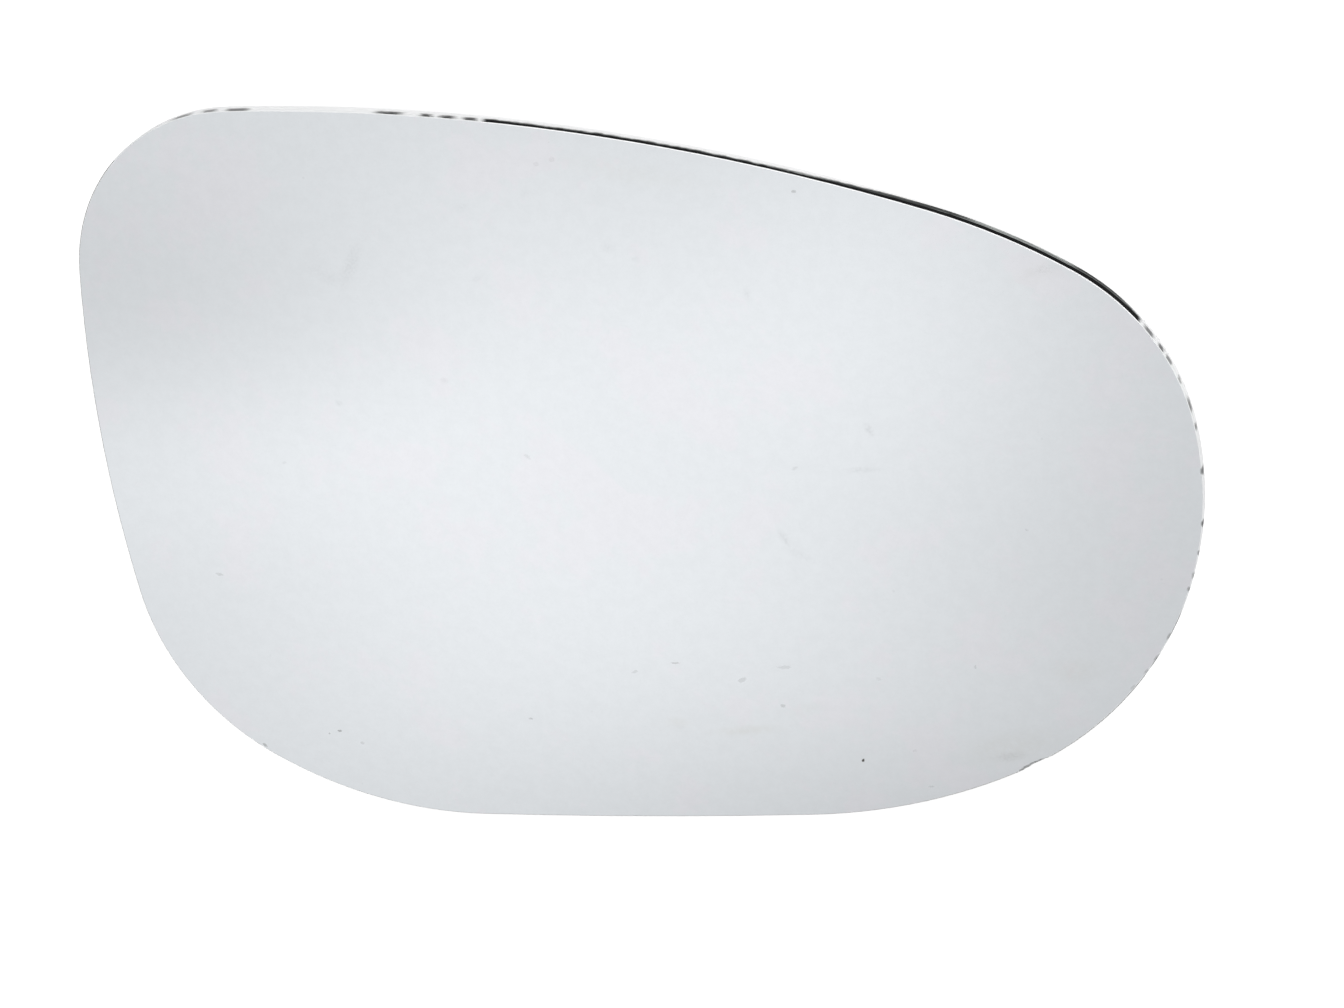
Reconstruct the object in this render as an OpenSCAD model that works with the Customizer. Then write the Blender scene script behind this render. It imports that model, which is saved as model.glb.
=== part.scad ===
// Glass of a car door mirror: one plate of float glass, domed to a large
// radius, silvered on its back and ground all round its edge.
// It lies on its rim with the domed reflecting face up. The origin is on the
// surface under the middle of the glass, +X runs along the long side to the
// rounded end, and +Y to the long top edge.

/* [Glass] */
// Width of the glass along its long side
glass_w = 170; // [150:1:190]
// Height of the glass across its long side
glass_h = 115.5; // [100:0.5:130]
// Thickness of the glass
glass_t = 2.2; // [1.8:0.1:3]
// Radius that the reflecting face is domed to
bend_r = 1200; // [900:10:1600]
// Where the dome's top stands to the right of the middle
crown_x = -1.6; // [-4:0.1:4]
// Where the dome's top stands above the middle
crown_y = 8.1; // [5:0.1:12]

/* [Ground edge] */
// Width of the bevel between the reflecting face and the edge
face_arris = 0.2; // [0.15:0.05:0.4]
// Width of the bevel between the back and the edge
back_arris = 0.2; // [0.15:0.05:0.4]

/* [Outline radii] */
// Radius of the long top edge
top_r = 300; // [240:5:360]
// Radius of the shoulder where the top edge starts to fall
shoulder_r = 95.5; // [75:0.5:115]
// Radius of the corner at the upper right
nose_r = 34.5; // [28:0.5:40]
// Radius of the sweep round the right end
sweep_r = 53.5; // [43:0.5:64]
// Radius of the run from the sweep to the bottom edge
belly_r = 87; // [70:1:104]
// Radius of the run from the bottom edge to the lower left corner
bilge_r = 63; // [50:1:75]
// Radius of the corner at the lower left
heel_r = 38; // [31:0.5:45]
// Radius of the corner at the upper left
corner_r = 28.5; // [23:0.5:34]

/* [Outline angles] */
// How steeply the top edge still climbs where it leaves the upper left corner
climb_angle = 4.6; // [3.5:0.1:5.5]
// Angle that the top edge turns through
top_angle = 20.4; // [17:0.1:24]
// Angle that the shoulder turns through
shoulder_angle = 13.2; // [11:0.1:16]
// Angle that the upper right corner turns through
nose_angle = 48.7; // [40:0.1:57]
// Angle that the sweep round the right end turns through
sweep_angle = 74.4; // [62:0.1:86]
// Angle that the run from the sweep to the bottom edge turns through
belly_angle = 22.1; // [18:0.1:26]
// Angle that the nearly straight bottom edge turns through
bottom_angle = 1.6; // [1.3:0.1:1.9]
// Angle that the run from the bottom edge to the lower left corner turns through
bilge_angle = 32.2; // [27:0.1:38]
// Angle that the lower left corner turns through
heel_angle = 51.7; // [42:0.1:60]
// Angle that the left side turns through
side_angle = 12.7; // [10.5:0.1:15]

/* [Hidden] */

// How far a straight step of the outline may cut inside its arc
step_slack = 0.01;
// How far the ground blank stands clear of the domed sheet
clear = 0.5;
// Sides of the circle that each sphere is drawn with
sphere_sides = 480;

full_turn = 360;
crown = [crown_x, crown_y];
// Radius of the sphere through the corner between the face's bevel and the edge
edge_r = bend_r - face_arris;

// The outline is ten arcs, each tangent to the next, taken clockwise from the
// left end of the top edge to the upper left corner. That corner comes last
// and turns through what is left of the full turn.
drawn_angles = [
    top_angle, shoulder_angle, nose_angle, sweep_angle, belly_angle,
    bottom_angle, bilge_angle, heel_angle, side_angle
];
function total(list, count) = count == 0 ? 0 : list[count - 1] + total(list, count - 1);
angles = concat(drawn_angles, [full_turn - total(drawn_angles, len(drawn_angles))]);
// Angle below level that the outline heads in at the start of each arc
headings = [for (i = [0:len(angles)]) total(angles, i) - climb_angle];

// Way from heading a to heading b round an arc of radius 1
function arc_way(a, b) = [sin(b) - sin(a), cos(b) - cos(a)];
ways = [for (i = [0:len(angles) - 1]) arc_way(headings[i], headings[i + 1])];

// The bottom edge and the left side, arcs 5 and 8 counted from 0, get the
// radii that close the outline
bottom_index = 5;
side_index = 8;
set_radii = [
    top_r, shoulder_r, nose_r, sweep_r, belly_r,
    0, bilge_r, heel_r, 0, corner_r
];
gap = -(set_radii * ways);
spread = cross(ways[bottom_index], ways[side_index]);
bottom_r = cross(gap, ways[side_index]) / spread;
side_r = cross(ways[bottom_index], gap) / spread;
radii = [
    for (i = [0:len(angles) - 1])
        i == bottom_index ? bottom_r : i == side_index ? side_r : set_radii[i]
];

// Point where arc i starts
function arc_start(i) = i == 0 ? [0, 0] : arc_start(i - 1) + radii[i - 1] * ways[i - 1];
// Steps that keep arc i within the slack
function arc_steps(i) = ceil(angles[i] / (2 * acos(1 - step_slack / radii[i])));

// Stations round the outline, each one a heading and a point
drawn = [
    for (i = [0:len(angles) - 1])
        let (start = arc_start(i), steps = arc_steps(i))
            for (k = [0:steps - 1])
                let (heading = headings[i] + angles[i] * k / steps)
                    [heading, start + radii[i] * arc_way(headings[i], heading)]
];
drawn_x = [for (s = drawn) s[1].x];
drawn_y = [for (s = drawn) s[1].y];
low = [min(drawn_x), min(drawn_y)];
high = [max(drawn_x), max(drawn_y)];
// The arcs stretched a little to the stated width and height
stretch = [glass_w / (high.x - low.x), glass_h / (high.y - low.y)];

function unit(v) = v / norm(v);
function outward(heading) = unit([sin(heading) / stretch.x, cos(heading) / stretch.y]);
function fitted(p) = let (q = p - (low + high) / 2) [q.x * stretch.x, q.y * stretch.y];
rim = [for (s = drawn) [fitted(s[1]), outward(s[0])]];

// Ring of plan points that lies inside the outline by inset
function plan_ring(inset) = [for (s = rim) s[0] - inset * s[1]];

// Way from the middle of the dome's sphere to the edge over plan point p
function ray(p) = [p.x - crown.x, p.y - crown.y, sqrt(edge_r ^ 2 - (p - crown) * (p - crown))];
// Share of that way at which the plate has the given depth under its face
function share(depth) = (bend_r - depth) / edge_r;

// The lowest corner of the ground edge stands at height 0
lowest = min([for (p = plan_ring(back_arris)) ray(p).z]) * share(glass_t);
dome = [crown.x, crown.y, -lowest];

// Ring at a depth under the face, square to the domed sheet
function bent_ring(inset, depth) = [for (p = plan_ring(inset)) dome + share(depth) * ray(p)];
function flat_ring(inset, z) = [for (p = plan_ring(inset)) [p.x, p.y, z]];

// The plate before its edge is ground: a shell between two spheres
module domed_sheet() {
    translate(dome)
        difference() {
            sphere(r = bend_r, $fn = sphere_sides);
            sphere(r = bend_r - glass_t, $fn = sphere_sides);
        }
}

// Block whose wall is the ground edge and its two bevels. Each bevel runs on
// past the sheet at 45 degrees, up to a flat lid and down to a flat base.
module ground_blank() {
    rings = [
        flat_ring(face_arris + clear, dome.z + bend_r + clear),
        bent_ring(face_arris + clear, -clear),
        bent_ring(0, face_arris),
        bent_ring(0, glass_t - back_arris),
        bent_ring(back_arris + clear, glass_t + clear),
        flat_ring(back_arris + clear, -2 * clear)
    ];
    n = len(rim);
    last = len(rings) - 1;
    lid = [for (i = [0:n - 1]) i];
    base = [for (i = [n - 1:-1:0]) last * n + i];
    wall = [
        for (k = [0:last - 1], i = [0:n - 1])
            let (j = (i + 1) % n)
                [k * n + j, k * n + i, (k + 1) * n + i, (k + 1) * n + j]
    ];
    polyhedron([for (ring = rings) each ring], concat([lid, base], wall), convexity = 2);
}

module mirror_glass() {
    color([0.87, 0.89, 0.91])
        intersection() {
            domed_sheet();
            ground_blank();
        }
}

mirror_glass();
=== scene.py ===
from math import cos, radians, sin, sqrt

import bmesh
import bpy
from mathutils import Matrix, Vector, noise


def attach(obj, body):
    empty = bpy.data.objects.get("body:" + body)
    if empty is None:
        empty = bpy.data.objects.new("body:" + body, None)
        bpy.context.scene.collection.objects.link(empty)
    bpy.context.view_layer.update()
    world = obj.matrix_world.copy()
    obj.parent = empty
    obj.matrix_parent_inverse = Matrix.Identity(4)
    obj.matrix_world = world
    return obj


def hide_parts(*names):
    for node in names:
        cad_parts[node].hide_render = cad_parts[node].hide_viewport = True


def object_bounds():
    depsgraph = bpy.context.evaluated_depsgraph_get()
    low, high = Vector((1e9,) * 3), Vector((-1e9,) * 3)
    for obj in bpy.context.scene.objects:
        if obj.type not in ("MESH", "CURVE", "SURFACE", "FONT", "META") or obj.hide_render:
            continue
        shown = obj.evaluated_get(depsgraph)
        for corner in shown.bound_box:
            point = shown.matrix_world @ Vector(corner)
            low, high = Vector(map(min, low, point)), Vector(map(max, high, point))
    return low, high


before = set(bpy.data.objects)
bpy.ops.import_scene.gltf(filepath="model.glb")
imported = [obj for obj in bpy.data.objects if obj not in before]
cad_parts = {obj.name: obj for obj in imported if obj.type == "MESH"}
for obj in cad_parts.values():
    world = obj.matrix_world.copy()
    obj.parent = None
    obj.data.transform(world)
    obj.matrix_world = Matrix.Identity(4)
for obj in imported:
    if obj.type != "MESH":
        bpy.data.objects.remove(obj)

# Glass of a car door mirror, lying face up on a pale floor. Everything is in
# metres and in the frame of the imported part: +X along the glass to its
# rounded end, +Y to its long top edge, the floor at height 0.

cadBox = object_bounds()
mm = 0.001

# The camera leans off straight down, over the upper right of the glass
view = {
    "lean": 30,                     # degrees off straight down
    "towards": 58,                  # degrees from +X to +Y
    "distance": 0.7,
    "aim": (4.95 * mm, -3.9 * mm, 0),
    "scale": 6735.4,                # photo pixels to the metre at the aim
    "photoWidth": 1344,
    "sensor": 36,                   # millimetres, as Blender counts them
    "nearest": 10 * mm,
}


def setCamera(v):
    lean, towards = radians(v["lean"]), radians(v["towards"])
    turn = Matrix.Rotation(lean, 4, Vector((-sin(towards), cos(towards), 0)))
    back = turn @ Vector((0, 0, 1))
    data = bpy.data.cameras.new("camera")
    data.sensor_width = v["sensor"]
    data.lens = v["scale"] * v["distance"] * v["sensor"] / v["photoWidth"]
    data.clip_start = v["nearest"]
    camera = bpy.data.objects.new("camera", data)
    bpy.context.collection.objects.link(camera)
    camera.matrix_world = Matrix.Translation(Vector(v["aim"]) + back * v["distance"]) @ turn
    bpy.context.scene.camera = camera


setCamera(view)
bpy.context.scene.view_settings.view_transform = "Standard"
print("camera set")


# Shader sums

class Value:
    # A socket that can stand in a sum: each operator adds its own Math node

    def __init__(self, shader, socket):
        self.shader = shader
        self.socket = socket

    def sum(self, operation, *parts):
        sockets = dict(enumerate(parts))
        node = self.shader.add("ShaderNodeMath", {"operation": operation}, sockets)
        return self.shader.out(node)

    def __add__(self, other):
        return self.sum("ADD", self, other)

    def __radd__(self, other):
        return self.sum("ADD", other, self)

    def __sub__(self, other):
        return self.sum("SUBTRACT", self, other)

    def __rsub__(self, other):
        return self.sum("SUBTRACT", other, self)

    def __mul__(self, other):
        return self.sum("MULTIPLY", self, other)

    def __rmul__(self, other):
        return self.sum("MULTIPLY", other, self)

    def __truediv__(self, other):
        return self.sum("DIVIDE", self, other)

    def exp(self):
        return self.sum("EXPONENT", self)

    def over(self, other):
        # the larger of the two
        return self.sum("MAXIMUM", self, other)


class Shader:
    # The node tree of one material or of the world

    def __init__(self, owner):
        owner.use_nodes = True
        self.tree = owner.node_tree
        self.tree.nodes.clear()

    def add(self, kind, settings=None, sockets=None):
        # settings are set first, as they decide which sockets a node has
        node = self.tree.nodes.new(kind)
        for name, setting in (settings or {}).items():
            setattr(node, name, setting)
        for name, given in (sockets or {}).items():
            if isinstance(given, Value):
                self.tree.links.new(given.socket, node.inputs[name])
            else:
                node.inputs[name].default_value = given
        return node

    def out(self, node, name=0):
        return Value(self, node.outputs[name])

    def place(self):
        # where the shaded point is on the piece
        return self.out(self.add("ShaderNodeTexCoord"), "Object")

    def vector(self, operation, a, b=(0, 0, 0)):
        node = self.add("ShaderNodeVectorMath", {"operation": operation}, {0: a, 1: b})
        return self.out(node, "Value" if operation in ("LENGTH", "DISTANCE") else "Vector")

    def rays(self, *kinds):
        # 1 for light paths of these kinds, 0 for the others
        path = self.add("ShaderNodeLightPath")
        found = [self.out(path, f"Is {kind} Ray") for kind in kinds]
        whole = found[0]
        for other in found[1:]:
            whole = whole.over(other)
        return whole

    def split(self, vector):
        node = self.add("ShaderNodeSeparateXYZ", None, {0: vector})
        return [self.out(node, axis) for axis in "XYZ"]

    def noise(self, place, scale, detail, roughness, name="Fac"):
        sockets = {"Vector": place, "Scale": scale, "Detail": detail, "Roughness": roughness}
        return self.out(self.add("ShaderNodeTexNoise", None, sockets), name)

    def ramp(self, value, start, end, low=0.0, high=1.0):
        # low up to start, high from end on, and a soft step between
        settings = {"interpolation_type": "SMOOTHSTEP"}
        sockets = {
            "Value": value,
            "From Min": start,
            "From Max": end,
            "To Min": low,
            "To Max": high,
        }
        return self.out(self.add("ShaderNodeMapRange", settings, sockets))

    def ellipse(self, place, x, y, length, width, turn):
        # 0 in the middle of an ellipse, 1 on its outline, and so on outwards
        sockets = {
            "Vector": place,
            "Location": (x, y, 0),
            "Rotation": (0, 0, radians(turn)),
            "Scale": (length, width, 1),
        }
        local = self.add("ShaderNodeMapping", {"vector_type": "TEXTURE"}, sockets)
        return self.vector("LENGTH", self.out(local))

    def ragged(self, place, noisePlace, noiseKind, reach):
        # the place, pushed about by a noise, so that outlines on it wander
        shift = self.noise(noisePlace, *noiseKind, "Color")
        shift = self.vector("SUBTRACT", shift, (0.5, 0.5, 0.5))
        shift = self.vector("MULTIPLY", shift, (reach, reach, 0))
        return self.vector("ADD", place, shift)

    def blend(self, factor, a, b):
        # colour a where the factor is 0, colour b where it is 1
        node = self.add("ShaderNodeMix", {"data_type": "RGBA"}, {"Factor": factor})
        for name, colour in (("A", a), ("B", b)):
            socket = [s for s in node.inputs if s.name == name and s.type == "RGBA"][0]
            if isinstance(colour, Value):
                self.tree.links.new(colour.socket, socket)
            else:
                socket.default_value = (*colour, 1)
        return Value(self, [s for s in node.outputs if s.type == "RGBA"][0])

    def bump(self, height, strength, distance):
        sockets = {"Height": height, "Strength": strength, "Distance": distance}
        return self.out(self.add("ShaderNodeBump", None, sockets))

    def finish(self, settings):
        surface = self.add("ShaderNodeBsdfPrincipled", None, settings)
        self.add("ShaderNodeOutputMaterial", None, {"Surface": self.out(surface)})


# Marks on the reflecting face, by where they lie on the glass in millimetres
# from its middle. Each has its half length, half width, turn in degrees, and
# how strong it is.

specks = [
    (33.3, -42.7, 0.3, 0.21, 70, 1.0), (-50.1, -44.9, 0.36, 0.15, 0, 0.45),
    (-51.9, -45.6, 0.18, 0.14, 0, 0.35), (-46.6, -46.7, 0.3, 0.26, -45, 0.18),
    (-18.4, -39.6, 0.31, 0.15, 0, 0.26), (-1.2, -30.0, 0.52, 0.2, 20, 0.14),
    (5.3, -28.0, 0.68, 0.14, 2, 0.24), (22.1, -27.5, 1.0, 0.26, 9, 0.13),
    (15.5, -30.1, 0.7, 0.34, 26, 0.16), (21.5, -34.1, 0.36, 0.26, 0, 0.22),
    (36.4, -28.5, 0.4, 0.28, -10, 0.09), (41.2, -40.5, 0.35, 0.2, 6, 0.1),
    (43.5, -46.6, 0.42, 0.15, 5, 0.22), (51.0, -25.6, 0.31, 0.17, 90, 0.2),
    (59.4, -2.7, 0.25, 0.15, -18, 0.17), (-67.2, -19.1, 0.58, 0.2, -6, 0.18),
    (-54.3, 1.0, 0.36, 0.22, 0, 0.06), (27.3, 48.6, 0.33, 0.24, 0, 0.3),
    (-15.3, 5.0, 0.54, 0.28, -36, 0.1), (25.5, 5.6, 0.46, 0.21, 34, 0.1),
    (-10.6, 51.2, 0.43, 0.3, -9, 0.08), (-8.2, 52.0, 0.46, 0.4, 0, 0.08),
    (-63.1, -48.9, 0.42, 0.2, -42, 0.4),
]
smudges = [
    (-45.0, 32.2, 2.4, 0.9, -28, 0.06), (-40.5, 34.0, 3.1, 0.9, 64, 0.1),
    (-0.8, 38.9, 0.84, 0.57, 0, 0.06), (3.4, 37.4, 0.5, 0.4, 0, 0.06),
    (-21.0, 33.0, 0.8, 0.4, 30, 0.06), (19.8, 32.7, 0.9, 0.43, -80, 0.07),
    (36.8, 12.3, 0.9, 0.5, -60, 0.12), (35.5, 5.8, 2.0, 0.4, 4, 0.1),
    (-27.3, 16.4, 0.5, 0.42, 0, 0.12), (-44.4, 11.6, 0.45, 0.42, 0, 0.1),
    (23.3, -5.9, 1.2, 0.5, -65, 0.12), (25.6, -8.5, 1.8, 0.45, -25, 0.06),
    (63.0, 38.1, 2.2, 0.7, 20, 0.07), (-12.8, 46.4, 0.9, 0.5, 30, 0.05),
    (-22.5, 44.0, 0.9, 0.5, 20, 0.04), (5.2, -39.0, 0.6, 0.3, -10, 0.045),
    (55.6, -40.6, 2.0, 0.6, 10, 0.13),
]
smears = [
    (15.5, -38.8, 4.2, 0.7, 8, 1.0), (25.0, -34.5, 2.4, 0.9, 20, 0.35),
    (4.9, -38.2, 1.6, 0.8, 0, 0.65), (56.0, -39.0, 6.5, 2.2, 15, 0.7),
    (62.0, 37.6, 3.6, 1.2, 20, 0.4), (3.0, 50.5, 9.0, 1.4, -8, 0.4),
    (66.0, -25.5, 3.0, 1.6, 10, 0.7),
]
# Where the film is warmer in colour
warmClouds = [
    (-70.0, 42.0, 16, 11, 60, 0.75), (-64.0, -2.0, 7, 11, 0, 0.6),
    (-41.0, 3.0, 8, 6, 0, 0.7), (-28.0, 17.0, 7, 5, 20, 0.5),
    (-10.0, -5.0, 20, 9, 15, 0.85), (13.0, 18.0, 14, 8, -10, 0.95),
    (-8.0, 28.0, 12, 5, 0, 0.55), (-16.0, 53.0, 7, 6, 0, 0.75),
    (76.0, 8.0, 8, 26, 0, 0.45), (60.0, 41.0, 8, 5, -30, 0.45),
    (40.0, -40.0, 18, 8, 20, 0.45), (56.0, -22.0, 8, 8, 0, 0.45),
]
# Every noise from here on has its scale, detail and roughness
marks = {
    "ragged": 0.35 * mm,            # how far a mark's outline wanders
    "raggedNoise": (1500, 2, 0.5),
    "dirt": (0.09, 0.085, 0.08),
    "smear": (0.78, 0.785, 0.755),  # a faint yellowish film
    "smearShare": 0.43,
    "smearStep": (0.3, 0.6),        # of the film's grain, which makes it patchy
    "smearLeast": 0.4,              # of its strength
    "smudgeNoise": (2400, 3, 0.7),
    "smudgeStep": (0.35, 0.65),
    "smudgeShare": (0.2, 0.85),     # of its strength, least and most
    "speckSoft": 0.35,              # how soft an outline is, as a share of its size
    "dropSoft": 0.5,
    "smudgeSoft": 0.9,
    "smearSoft": 0.8,
    "cloudSoft": 0.8,
    "speckMetal": 0.9,              # what a speck takes off the mirror's metal
    "speckRough": 0.5,              # and adds to its roughness, as a smudge does
    "smudgeRough": 1.5,
}


def markMask(shader, place, spots, soft):
    # each spot's strength on its ellipse, 0 off it, and a soft edge between
    whole = None
    for x, y, length, width, turn, strength in spots:
        far = shader.ellipse(place, x * mm, y * mm, length * mm, width * mm, turn)
        spot = shader.ramp(far, 1 - soft, 1 + soft, strength, 0)
        whole = spot if whole is None else whole.over(spot)
    return whole


# The mirror's face: silvered glass under a thin film with warmer and cooler
# patches, fine spots and a little dust
silver = {
    "warm": (0.882, 0.887, 0.911),
    "cool": (0.862, 0.892, 0.908),
    "roughness": 0.03,
    "film": (75, 5, 0.65),          # patches of about 13 mm
    "grain": (900, 2, 0.6),
    "toneShares": (0.85, 0.15, 0.15),   # of film, grain and warm clouds
    "toneStep": (0.55, 0.61),       # cool below it, warm above
    "mottleNoise": (420, 4, 0.75),  # the film's fine spots, up to 2 mm
    "mottleStep": (0.3, 0.7),
    "mottle": 0.03,
    "dustCells": 230,               # one grain of dust to a cell of about 4 mm
    "dustShare": 0.3,               # of the cells have one
    "dustSize": (0.02, 0.03),       # of a cell, the least and what chance adds
    "dustEdge": (0.6, 1.2),         # of a grain's size, between which it fades
    "dustStep": 0.01,
    "dust": 0.06,
}


def dustMask(shader, flat):
    # grains in the middle of Voronoi cells, in the cells whose number is low
    sockets = {"Vector": flat, "Scale": silver["dustCells"]}
    cells = shader.add("ShaderNodeTexVoronoi", None, sockets)
    number = shader.split(shader.out(cells, "Color"))
    least, added = silver["dustSize"]
    size = least + added * number[1]
    grains = shader.ramp(shader.out(cells, "Distance") / size, *silver["dustEdge"], 1, 0)
    share = silver["dustShare"]
    return grains * shader.ramp(number[0], share - silver["dustStep"], share, 1, 0)


def silveredFace():
    material = bpy.data.materials.new("silveredFace")
    shader = Shader(material)
    flat = shader.vector("MULTIPLY", shader.place(), (1, 1, 0))
    film = shader.noise(flat, *silver["film"])
    grain = shader.noise(flat, *silver["grain"])
    clouds = markMask(shader, flat, warmClouds, marks["cloudSoft"])
    filmShare, grainShare, cloudShare = silver["toneShares"]
    tone = film * filmShare + grain * grainShare + clouds * cloudShare
    tone = shader.ramp(tone, *silver["toneStep"])
    colour = shader.blend(tone, silver["cool"], silver["warm"])
    mottle = shader.noise(flat, *silver["mottleNoise"])
    mottle = shader.ramp(mottle, *silver["mottleStep"], silver["mottle"], 0)
    colour = shader.blend(mottle, colour, marks["dirt"])
    # marks with ragged outlines, and drops of the edge's paint
    ragged = shader.ragged(flat, flat, marks["raggedNoise"], marks["ragged"])
    speck = markMask(shader, ragged, specks, marks["speckSoft"])
    speck = speck.over(markMask(shader, flat, paintDrops, marks["dropSoft"]))
    broken = shader.noise(flat, *marks["smudgeNoise"])
    broken = shader.ramp(broken, *marks["smudgeStep"], *marks["smudgeShare"])
    smudge = markMask(shader, ragged, smudges, marks["smudgeSoft"]) * broken
    patchy = shader.ramp(grain, *marks["smearStep"], marks["smearLeast"], 1)
    smear = markMask(shader, ragged, smears, marks["smearSoft"]) * patchy
    colour = shader.blend(smear * marks["smearShare"], colour, marks["smear"])
    dirt = speck.over(smudge).over(dustMask(shader, flat) * silver["dust"])
    colour = shader.blend(dirt, colour, marks["dirt"])
    rough = silver["roughness"] + marks["speckRough"] * speck + marks["smudgeRough"] * smudge
    shader.finish({
        "Base Color": colour,
        "Metallic": 1 - speck * marks["speckMetal"],
        "Roughness": rough,
    })
    return material


# The ground edge. Dark paint covers it from just under the reflecting face
# down to some depth, thins out there, and is worn off in places down to the
# pale ground glass. Where it is thin, its grey and lighter streaks are partly
# a painted reflection of light in the lower part of the edge.
edge = {
    "paint": (0.003, 0.0032, 0.0036),
    # the thin paint's dark grey and light streak colours, partly a painted reflection of
    # light in the lower edge
    "thinPaintSheen": (0.06, 0.063, 0.062),
    "streak": (0.42, 0.44, 0.43),
    "frost": (0.96, 0.965, 0.97),
    "dull": (0.79, 0.805, 0.81),    # the bare edge next to the face
    "dullReach": 0.6 * mm,
    "paintFrom": (0.09 * mm, 0.13 * mm),
    "thick": (0.68 * mm, 1.1 * mm),  # how deep the paint is thick, left and right
    "reach": (1.2 * mm, 2.55 * mm),  # how deep it reaches at all
    "grows": (24 * mm, 58 * mm),    # between these places along the glass
    "reachEnd": 1.2 * mm,           # so much less deep at the right end
    "shrinks": (69 * mm, 78 * mm),
    "fade": 0.4 * mm,
    "thickFade": (-0.1 * mm, 0.15 * mm),
    "wander": (1.3 * mm, 0.3 * mm),  # how ragged its border is, left and right
    "wanderNoise": (400, 3, 0.6),
    "streakNoise": (1, 3, 0.6),
    "streakLength": 120,            # scale along the edge
    "streakWidth": 3600,            # scale across it
    "streakStep": (0.52, 0.78),     # dark below it, light above
    # scraping adds painted reflection to the light streaks
    "scrapedSheen": 0.2,                 # what scraping adds to the streaks
    "ragged": 2 * mm,               # how far outlines of bare stretches and runs wander
    "raggedNoise": (600, 4, 0.7),
    "bareSoft": 0.02,
    "scrapedSheenSoft": 0.3,
    "runSoft": 0.5,
    "runsFade": (0.85 * mm, 1.5 * mm),  # depths between which the runs fade
    "runsLeast": 0.15,
    "runsWander": 0.6 * mm,
    "dropsFade": (0.3 * mm, 0.9 * mm),
    "roughness": (0.5, 0.2),        # the least, and what the streaks add
    "specular": 0.02,
    "bump": (0.15, 0.02 * mm),
}
# Where the paint is scraped thin and carries more painted reflection, where it
# is worn off, and the short runs of it left there, listed as the marks are
scrapedSheenPatches = [(60.5, 42.4, 9.5, 3.0, -21, 1.0)]
bareStretches = [(-51.8, 57.0, 33.5, 14, 0, 1.0), (86.0, 2.0, 36.0, 16, 90, 1.0)]
paintRuns = [
    (-20.4, 58.0, 1.2, 1.2, -4, 0.88), (-23.7, 58.2, 1.45, 1.2, -2, 0.92),
    (-26.9, 58.3, 1.0, 1.2, 0, 0.9), (-32.6, 58.2, 2.1, 1.2, 2, 0.9),
    (-56.4, 57.0, 1.7, 1.2, 12, 0.75), (-60.9, 56.1, 1.2, 1.2, 16, 0.65),
    (-65.3, 54.9, 1.6, 1.2, 22, 0.65), (77.8, 29.1, 1.1, 1.2, -57, 0.75),
    (79.4, 26.4, 0.7, 1.2, -62, 0.78), (80.4, 24.6, 0.6, 1.2, -66, 0.65),
    (81.6, 21.6, 0.45, 1.2, -70, 0.52), (82.9, 17.7, 1.1, 1.2, -76, 0.7),
    (83.7, 14.4, 0.5, 1.2, -80, 0.65), (84.5, 7.6, 0.55, 1.2, -86, 0.75),
    (84.6, -0.7, 0.55, 1.2, -92, 0.75), (80.6, -17.2, 2.2, 1.2, -111, 0.9),
    (77.6, -23.4, 1.2, 1.2, -120, 0.9),
]
# Drops of it on the bevel and just over it, on the face
paintDrops = [
    (84.8, 7.6, 0.5, 0.25, -87, 0.72), (84.8, -0.7, 0.45, 0.25, -92, 0.78),
    (84.15, -5.4, 0.4, 0.2, -96, 0.6), (83.3, -9.05, 0.55, 0.2, -100, 0.45),
    (82.6, -11.25, 0.35, 0.2, -103, 0.6), (79.6, -19.1, 0.6, 0.18, -116, 0.5),
    (77.65, -22.8, 0.55, 0.18, -121, 0.4), (76.2, -25.1, 0.5, 0.18, -125, 0.35),
    (74.2, -27.8, 0.5, 0.18, -130, 0.25),
]


def paintedShare(shader, place, depth, border, bare, streak):
    # 1 where the edge is painted. border is the depth with a wander in it.
    x = shader.split(place)[0]
    reach = shader.ramp(x, *edge["grows"], *edge["reach"])
    reach = reach - shader.ramp(x, *edge["shrinks"], 0, edge["reachEnd"])
    painted = shader.ramp(border - reach, -edge["fade"], edge["fade"], 1, 0)
    painted = painted * shader.ramp(depth, *edge["paintFrom"])
    # runs left on the bare stretches, and drops
    runs = markMask(shader, raggedEdge(shader, place), paintRuns, edge["runSoft"])
    runDepth = depth + edge["runsWander"] * (streak - 0.5)
    runs = runs * shader.ramp(runDepth, *edge["runsFade"], 1, edge["runsLeast"])
    painted = painted * (1 - bare * (1 - runs))
    drops = markMask(shader, place, paintDrops, marks["dropSoft"])
    return painted.over(drops * shader.ramp(depth, *edge["dropsFade"], 1, 0))


def raggedEdge(shader, place):
    # the place on the edge, pushed about by a noise that is finer up and down
    noisePlace = shader.vector("MULTIPLY", place, (1, 1, 2))
    return shader.ragged(place, noisePlace, edge["raggedNoise"], edge["ragged"])


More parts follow.
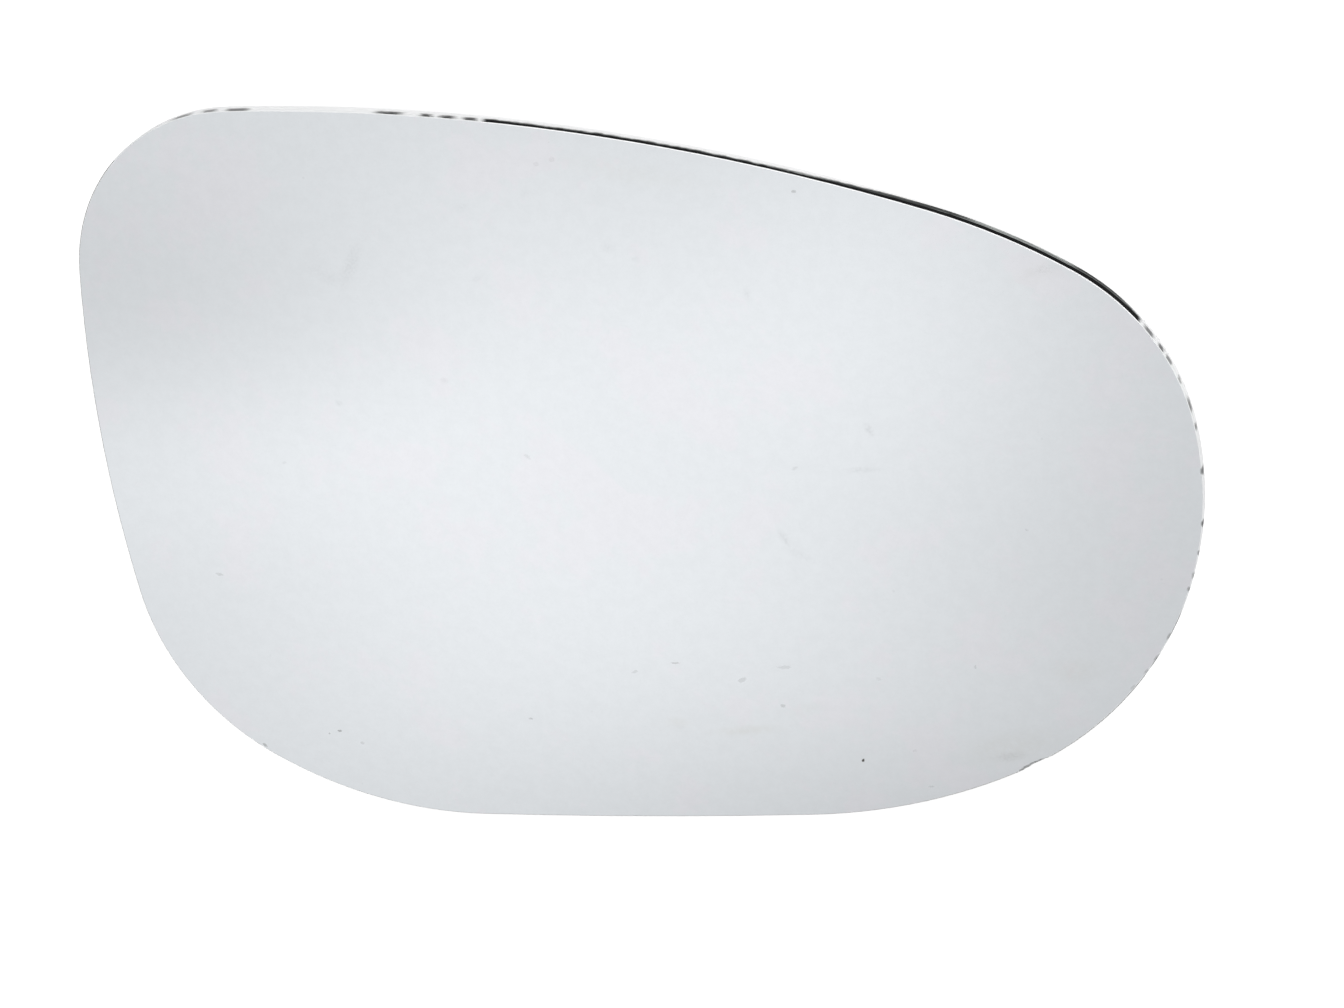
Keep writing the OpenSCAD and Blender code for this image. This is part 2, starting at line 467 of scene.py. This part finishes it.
def groundEdge():
    material = bpy.data.materials.new("groundEdge")
    shader = Shader(material)
    place = shader.place()
    x = shader.split(place)[0]
    depth = glass["bendRadius"] - shader.vector("DISTANCE", place, tuple(domeMiddle))
    wander = shader.ramp(x, *edge["grows"], *edge["wander"])
    border = depth + wander * (shader.noise(place, *edge["wanderNoise"]) - 0.5)
    # noise stretched along the edge: grinding lines, and streaks of thin paint with their
    # painted reflection
    across = shader.add("ShaderNodeCombineXYZ", None, {"Z": depth * edge["streakWidth"]})
    along = (edge["streakLength"], edge["streakLength"], 0)
    along = shader.vector("MULTIPLY", place, along)
    streak = shader.vector("ADD", along, shader.out(across))
    streak = shader.noise(streak, *edge["streakNoise"])
    # the paint: dark where it is thick, streaky where it is thin or scraped, its light
    # streaks there a painted reflection
    scrapedSheen = markMask(shader, place, scrapedSheenPatches, edge["scrapedSheenSoft"])
    light = shader.ramp(streak + edge["scrapedSheen"] * scrapedSheen, *edge["streakStep"])
    thick = shader.ramp(x, *edge["grows"], *edge["thick"])
    thinPaintSheen = shader.ramp(border - thick, *edge["thickFade"])
    colour = shader.blend(light, edge["thinPaintSheen"], edge["streak"])
    colour = shader.blend(thinPaintSheen, edge["paint"], colour)
    # the bare edge, duller next to the face
    bare = markMask(shader, raggedEdge(shader, place), bareStretches, edge["bareSoft"])
    dull = bare * shader.ramp(depth, 0, edge["dullReach"], 1, 0)
    pale = shader.blend(dull, edge["frost"], edge["dull"])
    painted = paintedShare(shader, place, depth, border, bare, streak)
    colour = shader.blend(painted, pale, colour)
    least, added = edge["roughness"]
    shader.finish({
        "Base Color": colour,
        "Roughness": least + added * streak,
        "Specular IOR Level": edge["specular"],
        "Normal": shader.bump(streak, *edge["bump"]),
    })
    return material


# Dull paint on the back
paint = {
    "colour": (0.055, 0.057, 0.06),
    "worn": (0.095, 0.097, 0.1),
    "cloud": (60, 4, 0.6),
    "wornStep": (0.4, 0.75),
    "wornShare": 0.6,
    "roughness": 0.62,
    "uneven": 0.12,                 # how much the roughness varies
    "stipple": (2600, 2, 0.6),
    "bump": (0.35, 0.03 * mm),
}


def backPaint():
    material = bpy.data.materials.new("backPaint")
    shader = Shader(material)
    place = shader.place()
    cloud = shader.noise(place, *paint["cloud"])
    stipple = shader.noise(place, *paint["stipple"])
    worn = shader.ramp(cloud, *paint["wornStep"], 0, paint["wornShare"])
    shader.finish({
        "Base Color": shader.blend(worn, paint["colour"], paint["worn"]),
        "Roughness": paint["roughness"] + paint["uneven"] * (cloud - 0.5),
        "Normal": shader.bump(stipple, *paint["bump"]),
    })
    return material


# Chipped glass where the edge has flaked
chipped = {
    "light": (0.5, 0.506, 0.512),
    "dark": (0.17, 0.173, 0.176),
    "ripple": (1600, 3, 0.6),
    "rippleStep": (0.35, 0.65),     # dark below it, light above
    "roughness": 0.25,
    "bump": (0.3, 0.05 * mm),
}


def chippedGlass():
    material = bpy.data.materials.new("chippedGlass")
    shader = Shader(material)
    ripple = shader.noise(shader.place(), *chipped["ripple"])
    light = shader.ramp(ripple, *chipped["rippleStep"])
    shader.finish({
        "Base Color": shader.blend(light, chipped["dark"], chipped["light"]),
        "Roughness": chipped["roughness"],
        "Normal": shader.bump(ripple, *chipped["bump"]),
    })
    return material


# The glass: its outline is the CAD part's own, taken from a copy of the node
glass = {
    "node": "mirror_glass",
    "slot": "silvered_glass",
    "bendRadius": 1200 * mm,
    "crown": (-1.6 * mm, 8.1 * mm),
    "thickness": 2.2 * mm,
    "arris": 0.2 * mm,
    "rings": 28,                    # of the face, from its edge to its middle
    "smoothUnder": 30,              # degrees
    "bevelOver": 60,
    "wallUnder": 0.4,               # how far up or down the wall's normals point
    "doubles": 0.001 * mm,
}
domeMiddle = Vector((*glass["crown"], cadBox[1].z - glass["bendRadius"]))
faceSlot, edgeSlot, backSlot, chipSlot = range(4)


def fromDome(point):
    return (point - domeMiddle).length


def pick(piece, level, test):
    # selects the faces or corners that pass the test, and nothing else
    bpy.ops.mesh.select_mode(type=level)
    bpy.ops.mesh.select_all(action="DESELECT")
    mesh = bmesh.from_edit_mesh(piece.data)
    for item in {"FACE": mesh.faces, "VERT": mesh.verts}[level]:
        item.select_set(test(item))
    mesh.select_flush_mode()
    bmesh.update_edit_mesh(piece.data)


def useAlone(piece):
    bpy.ops.object.select_all(action="DESELECT")
    piece.select_set(True)
    bpy.context.view_layer.objects.active = piece


def applyModifier(piece, kind, settings):
    modifier = piece.modifiers.new(kind.lower(), kind)
    for name, setting in settings.items():
        setattr(modifier, name, setting)
    useAlone(piece)
    bpy.ops.object.modifier_apply(modifier=modifier.name)


def domedSheet(g):
    piece = bpy.data.objects.new("glass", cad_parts[g["node"]].data.copy())
    bpy.context.collection.objects.link(piece)
    useAlone(piece)
    bpy.ops.object.mode_set(mode="EDIT")
    bpy.ops.mesh.select_all(action="SELECT")
    bpy.ops.mesh.remove_doubles(threshold=g["doubles"])
    # only the wall stays, and of the wall only its upper loop
    pick(piece, "FACE", lambda face: abs(face.normal.z) > g["wallUnder"])
    bpy.ops.mesh.delete(type="FACE")
    halfWay = g["bendRadius"] - g["thickness"] / 2
    pick(piece, "VERT", lambda corner: fromDome(corner.co) < halfWay)
    bpy.ops.mesh.delete(type="VERT")
    # the loop is drawn in, ring by ring, to the middle
    bpy.ops.mesh.select_mode(type="EDGE")
    bpy.ops.mesh.select_all(action="SELECT")
    for left in range(g["rings"], 1, -1):
        shrink = (left - 1) / left
        bpy.ops.mesh.extrude_edges_move()
        bpy.ops.transform.resize(value=(shrink, shrink, 1), center_override=(0, 0, 0))
    bpy.ops.mesh.extrude_edges_move()
    bpy.ops.mesh.merge(type="CENTER")
    bpy.ops.object.mode_set(mode="OBJECT")
    # every corner goes up to the sphere of the reflecting face
    loopRadius = g["bendRadius"] - g["arris"]
    mesh = bmesh.new()
    mesh.from_mesh(piece.data)
    for corner in mesh.verts:
        flat = (corner.co - domeMiddle).to_2d()
        way = Vector((*flat, sqrt(loopRadius ** 2 - flat.length_squared)))
        corner.co = domeMiddle + way * (g["bendRadius"] / loopRadius)
    bmesh.ops.recalc_face_normals(mesh, faces=mesh.faces)
    if sum(face.normal.z for face in mesh.faces) < 0:
        bmesh.ops.reverse_faces(mesh, faces=mesh.faces)
    mesh.to_mesh(piece.data)
    mesh.free()
    piece.data.materials.clear()
    return piece


def groundPlate(g):
    piece = domedSheet(g)
    for make in (silveredFace, groundEdge, backPaint, chippedGlass):
        piece.data.materials.append(make())
    piece.data.polygons.foreach_set("material_index", [faceSlot] * len(piece.data.polygons))
    applyModifier(piece, "SOLIDIFY", {
        "thickness": g["thickness"],
        "offset": -1,
        "use_even_offset": True,
        "material_offset": backSlot,
        "material_offset_rim": edgeSlot,
    })
    applyModifier(piece, "BEVEL", {
        "width": g["arris"],
        "segments": 1,
        "limit_method": "ANGLE",
        "angle_limit": radians(g["bevelOver"]),
        "use_clamp_overlap": False,
        "material": edgeSlot,
    })
    return piece


# Two small flakes broken out of the face's edge, by their place on the glass
# in millimetres from its middle. The broken surface runs in shallow steps.
flakeSteps = {"scale": 1300, "depth": 0.22, "subdivisions": 5}
flakes = [
    {"at": (59.4, -41.55), "turn": 28.5, "half": (2.8, 0.38, 0.7), "seed": 3},
    {"at": (-63.5, -49.5), "turn": -42, "half": (0.7, 0.25, 0.3), "seed": 8},
]


def breakFlake(piece, flake):
    across = Vector(flake["at"]) * mm
    flat = across - domeMiddle.to_2d()
    height = domeMiddle.z + sqrt(glass["bendRadius"] ** 2 - flat.length_squared)
    bpy.ops.object.select_all(action="DESELECT")
    bpy.ops.mesh.primitive_ico_sphere_add(
        subdivisions=flakeSteps["subdivisions"], radius=1, location=(*across, height))
    cutter = bpy.context.object
    cutter.scale = [half * mm for half in flake["half"]]
    cutter.rotation_euler.z = radians(flake["turn"])
    bpy.ops.object.transform_apply(location=False, rotation=True, scale=True)
    for corner in cutter.data.vertices:
        step = noise.noise(corner.co * flakeSteps["scale"] + Vector((flake["seed"], 0, 0)))
        corner.co *= 1 + flakeSteps["depth"] * step
    for material in piece.data.materials:
        cutter.data.materials.append(material)
    cutter.data.polygons.foreach_set("material_index", [chipSlot] * len(cutter.data.polygons))
    applyModifier(piece, "BOOLEAN", {
        "object": cutter,
        "operation": "DIFFERENCE",
        "solver": "EXACT",
    })
    bpy.data.objects.remove(cutter)


def smoothDome(piece):
    # the reflecting face shades as the sphere that it is, facets or not
    useAlone(piece)
    bpy.ops.object.shade_smooth_by_angle(angle=radians(glass["smoothUnder"]))
    mesh = piece.data
    normals = [Vector() for corner in mesh.loops]
    for face in mesh.polygons:
        if face.material_index == faceSlot:
            for number in face.loop_indices:
                corner = mesh.vertices[mesh.loops[number].vertex_index].co
                normals[number] = (corner - domeMiddle).normalized()
    mesh.normals_split_custom_set(normals)


mirrorGlass = groundPlate(glass)
print("plate ground")
for flake in flakes:
    breakFlake(mirrorGlass, flake)
print("flakes broken out:", len(flakes))
smoothDome(mirrorGlass)
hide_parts(glass["node"])
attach(mirrorGlass, "root")
print("glass made:", len(mirrorGlass.data.polygons), "faces")


# Floor, light and surroundings
studio = {
    "floorRadius": 4.0,
    "floorSides": 96,
    "floorRough": 0.9,
    "floor": (0.9, 0.9, 0.9),
    "floorLift": 0.34,              # what is seen added to it, up to white
    "world": 0.35,                  # strength on matt surfaces
    "keyPower": 16,
    "keySize": 0.5,
    "keyDistance": 1.5,
    "keyFrom": (0.265, 0.424, 0.866),
    "mirrored": 0.791,              # what polished surfaces reflect all round
    "tint": (0.998, 1.0, 1.0145),
    "dusk": (0.0, 0.7),             # heights between which the mirrored room brightens
    "duskLight": 0.55,
}
# Soft panels that show only in reflections: the way they stand in, half
# length, half width, turn in degrees, and how much lighter they are
panels = [
    (-0.15, -0.42, 0.16, 0.11, 49, 0.16), (-0.34, -0.4, 0.1, 0.15, -22, 0.16),
    (-0.16, -0.3, 0.09, 0.28, -33, 0.141), (-0.43, -0.41, 0.14, 0.05, 8, 0.105),
    (-0.08, -0.29, 0.4, 0.2, -76, -0.14), (-0.1, -0.6, 0.06, 0.4, -92, -0.14),
    (-0.46, -0.36, 0.4, 0.06, -16, -0.072),
]


def setFloor(s):
    bpy.ops.mesh.primitive_circle_add(
        vertices=s["floorSides"], radius=s["floorRadius"], fill_type="NGON",
        location=(0, 0, cadBox[0].z))
    floor = bpy.context.object
    floor.name = "floor"
    material = bpy.data.materials.new("paleFloor")
    shader = Shader(material)
    seen = shader.rays("Camera", "Glossy", "Transmission")
    shader.finish({
        "Base Color": (*s["floor"], 1),
        "Roughness": s["floorRough"],
        "Specular IOR Level": 0.0,
        "Emission Color": (1, 1, 1, 1),
        "Emission Strength": seen * s["floorLift"],
    })
    floor.data.materials.append(material)


def background(shader, colour, strength):
    sockets = {"Color": (*colour, 1), "Strength": strength}
    return shader.out(shader.add("ShaderNodeBackground", None, sockets))


def setWorld(s):
    world = bpy.data.worlds.new("studio")
    bpy.context.scene.world = world
    shader = Shader(world)
    way = shader.out(shader.add("ShaderNodeTexCoord"), "Generated")
    flatWay = shader.vector("MULTIPLY", way, (1, 1, 0))
    light = s["mirrored"]
    for x, y, length, width, turn, lighter in panels:
        far = shader.ellipse(flatWay, x, y, length, width, turn)
        light = light + lighter * (0 - far * far).exp()
    height = shader.split(way)[2]
    light = light * shader.ramp(height, *s["dusk"], s["duskLight"], 1)
    mirrored = background(shader, s["tint"], light)
    plain = background(shader, (1, 1, 1), s["world"])
    white = background(shader, (1, 1, 1), 1.0)
    lit = shader.add("ShaderNodeMixShader", None, {
        0: shader.rays("Glossy"), 1: plain, 2: mirrored})
    seen = shader.add("ShaderNodeMixShader", None, {
        0: shader.rays("Camera", "Transmission"), 1: shader.out(lit), 2: white})
    shader.add("ShaderNodeOutputWorld", None, {"Surface": shader.out(seen)})


def setKey(s):
    data = bpy.data.lights.new("key", "AREA")
    data.shape = "DISK"
    data.size = s["keySize"]
    data.energy = s["keyPower"]
    key = bpy.data.objects.new("key", data)
    bpy.context.collection.objects.link(key)
    away = Vector(s["keyFrom"]).normalized()
    key.location = away * s["keyDistance"]
    key.rotation_mode = "QUATERNION"
    key.rotation_quaternion = away.to_track_quat("Z", "Y")
    key.visible_glossy = False


setFloor(studio)
setWorld(studio)
setKey(studio)
print("floor and light set")
